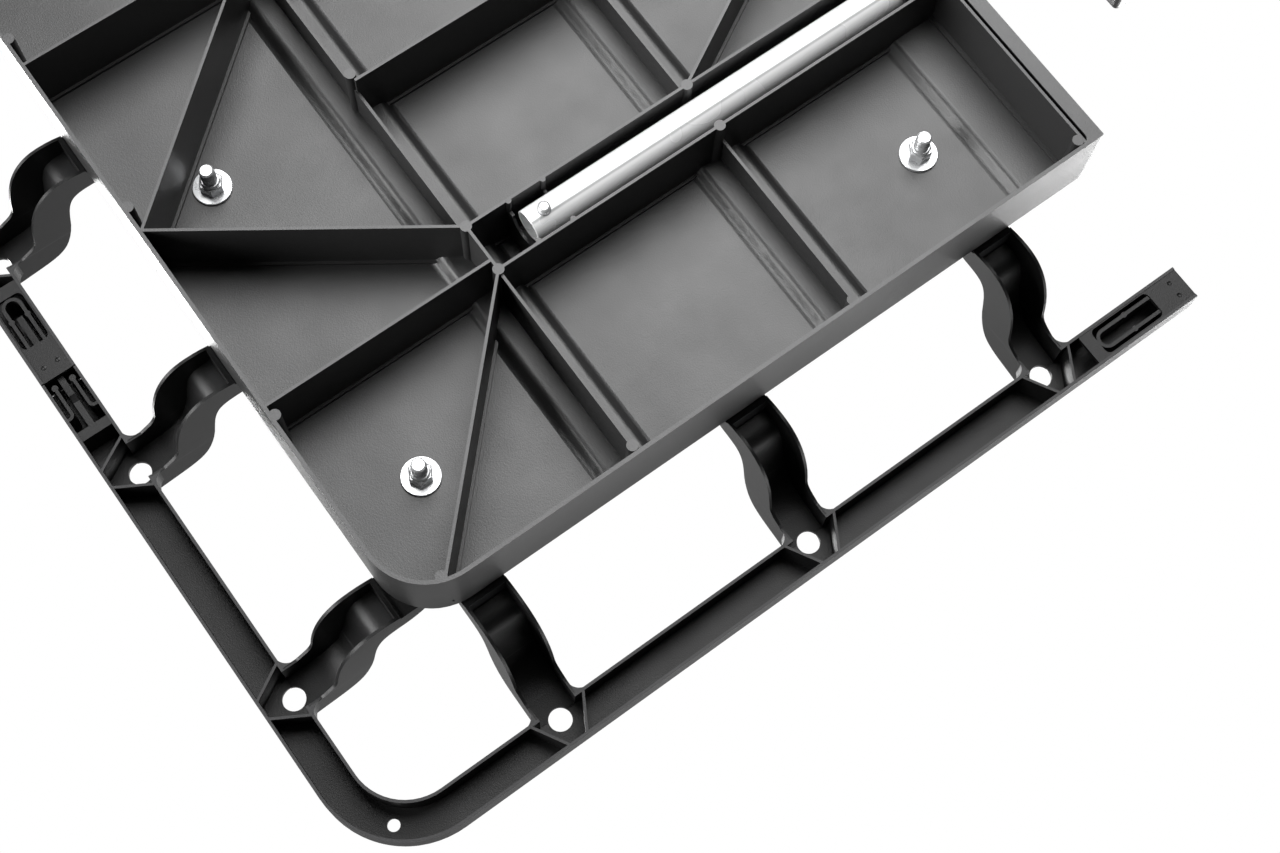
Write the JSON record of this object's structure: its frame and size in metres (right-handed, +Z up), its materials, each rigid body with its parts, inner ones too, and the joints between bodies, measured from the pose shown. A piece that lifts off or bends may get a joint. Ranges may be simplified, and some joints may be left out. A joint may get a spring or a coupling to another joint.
{
  "type": "hitch cargo carrier",
  "caption": "Two-piece moulded platform with a raised rail on curved legs, carried by telescoping tubes on a square hitch shank.",
  "frame": {"origin": "on the axis of the hitch pin hole, in the middle of the shank", "axes": "X across the vehicle, +Y along the shank away from the vehicle, +Z up"},
  "size_m": [1.471, 1.0425, 0.1614],
  "materials": {
    "base_plastic": "fine moulded texture",
    "rail_plastic": "fine moulded texture",
    "zinc_tube": "bright zinc plate",
    "zinc_hardware": "bright zinc plate",
    "button_steel": "polished",
    "spring_steel": "blued",
    "coated_shank": "black powder coat",
    "coated_sleeve": "black powder coat",
    "weld_steel": "powder-coated weld bead",
    "cap_plastic": "satin"
  },
  "bodies": {
    "hitch_frame": {"hitch_shank": "coated_shank", "rear_sleeve": "coated_sleeve", "front_sleeve": "coated_sleeve", "sleeve_welds": "weld_steel", "gussets": "coated_shank", "shank_end_cap": "cap_plastic"},
    "left_half": {"left_base": "base_plastic", "left_rear_rail": "rail_plastic", "left_front_rail": "rail_plastic", "left_rear_tube": "zinc_tube", "left_front_tube": "zinc_tube", "left_rear_spring": "spring_steel", "left_front_spring": "spring_steel", "left_bolts": "zinc_hardware", "left_washers": "zinc_hardware", "left_locknuts": "zinc_hardware"},
    "right_half": {"right_base": "base_plastic", "right_rear_rail": "rail_plastic", "right_front_rail": "rail_plastic", "right_rear_tube": "zinc_tube", "right_front_tube": "zinc_tube", "right_rear_spring": "spring_steel", "right_front_spring": "spring_steel", "right_bolts": "zinc_hardware", "right_washers": "zinc_hardware", "right_locknuts": "zinc_hardware"},
    "left_rear_button": {"left_rear_button": "button_steel"},
    "left_front_button": {"left_front_button": "button_steel"},
    "right_rear_button": {"right_rear_button": "button_steel"},
    "right_front_button": {"right_front_button": "button_steel"}
  },
  "joints": [
    {"name": "left_half_slide", "type": "slide", "parent": "hitch_frame", "child": "left_half", "axis": [1, 0, 0], "range_m": [0, 0.0695]},
    {"name": "right_half_slide", "type": "slide", "parent": "hitch_frame", "child": "right_half", "axis": [-1, 0, 0], "range_m": [0, 0.0695]},
    {"name": "left_rear_button_press", "type": "slide", "parent": "left_half", "child": "left_rear_button", "axis": [0, 0, 1], "range_m": [0, 0.0042], "stiffness_N_per_m": 1200, "springref_m": -0.003, "deforming": ["left_rear_spring"]},
    {"name": "left_front_button_press", "type": "slide", "parent": "left_half", "child": "left_front_button", "axis": [0, 0, 1], "range_m": [0, 0.0042], "stiffness_N_per_m": 1200, "springref_m": -0.003, "deforming": ["left_front_spring"]},
    {"name": "right_rear_button_press", "type": "slide", "parent": "right_half", "child": "right_rear_button", "axis": [0, 0, 1], "range_m": [0, 0.0042], "stiffness_N_per_m": 1200, "springref_m": -0.003, "deforming": ["right_rear_spring"]},
    {"name": "right_front_button_press", "type": "slide", "parent": "right_half", "child": "right_front_button", "axis": [0, 0, 1], "range_m": [0, 0.0042], "stiffness_N_per_m": 1200, "springref_m": -0.003, "deforming": ["right_front_spring"]}
  ]
}
